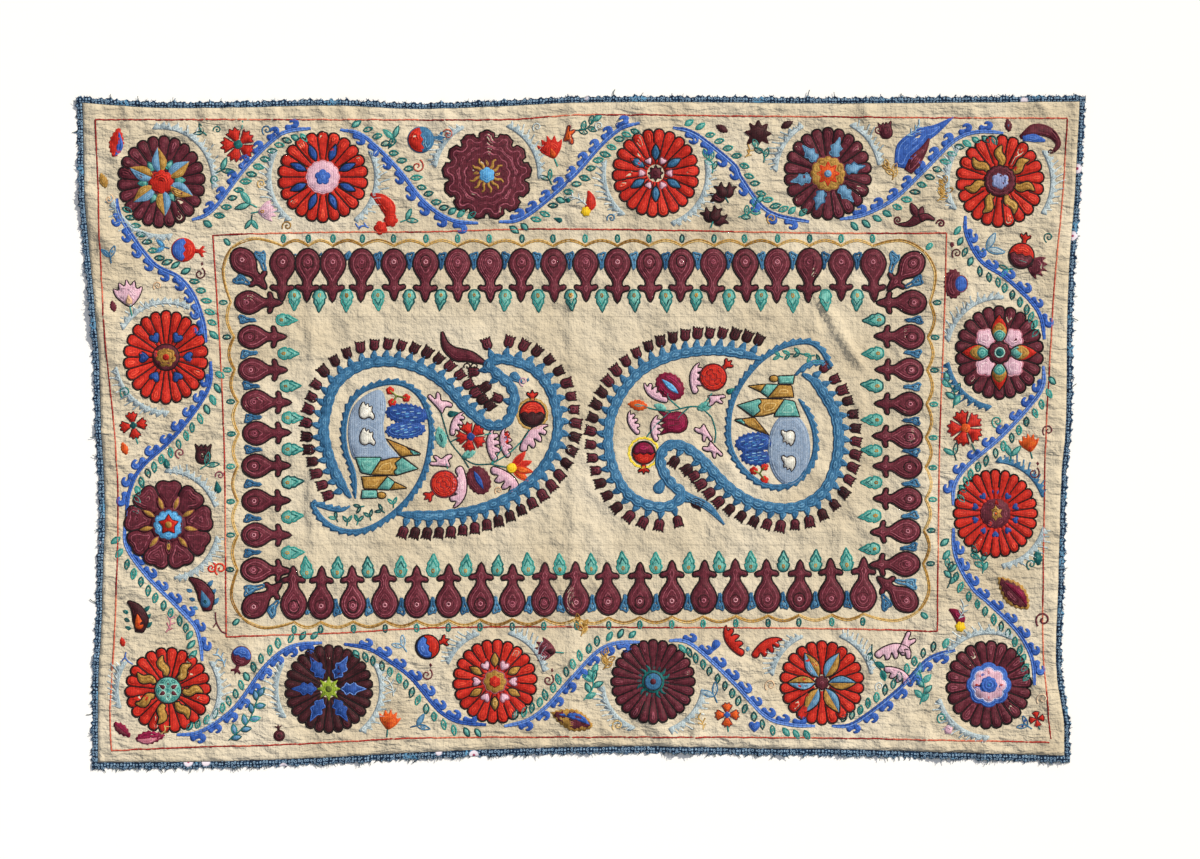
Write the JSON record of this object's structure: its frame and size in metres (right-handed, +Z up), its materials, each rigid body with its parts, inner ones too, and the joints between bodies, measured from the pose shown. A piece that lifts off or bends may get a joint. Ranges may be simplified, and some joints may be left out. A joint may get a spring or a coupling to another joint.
{
  "type": "suzani embroidered textile",
  "caption": "Large rectangular suzani: cream cotton cloth with paisleys and rosettes in chain stitch, narrow printed edging, laid flat face up with its fold creases.",
  "frame": {"origin": "on the surface the cloth lies on, under the middle of its box", "axes": "+X along the long side, +Y towards the far long side, +Z up out of the embroidered face"},
  "size_m": [1.5126, 1.0096, 0.0097],
  "materials": {
    "embroidered_cotton": "cream hand-woven cotton with silk and wool chain-stitch embroidery",
    "printed_cotton": "navy printed cotton with small white rings and a frayed outer edge"
  },
  "bodies": {
    "root": {"ground_cloth": "embroidered_cotton", "edging_far": "printed_cotton", "edging_near": "printed_cotton", "edging_left": "printed_cotton", "edging_right": "printed_cotton"}
  },
  "joints": []
}
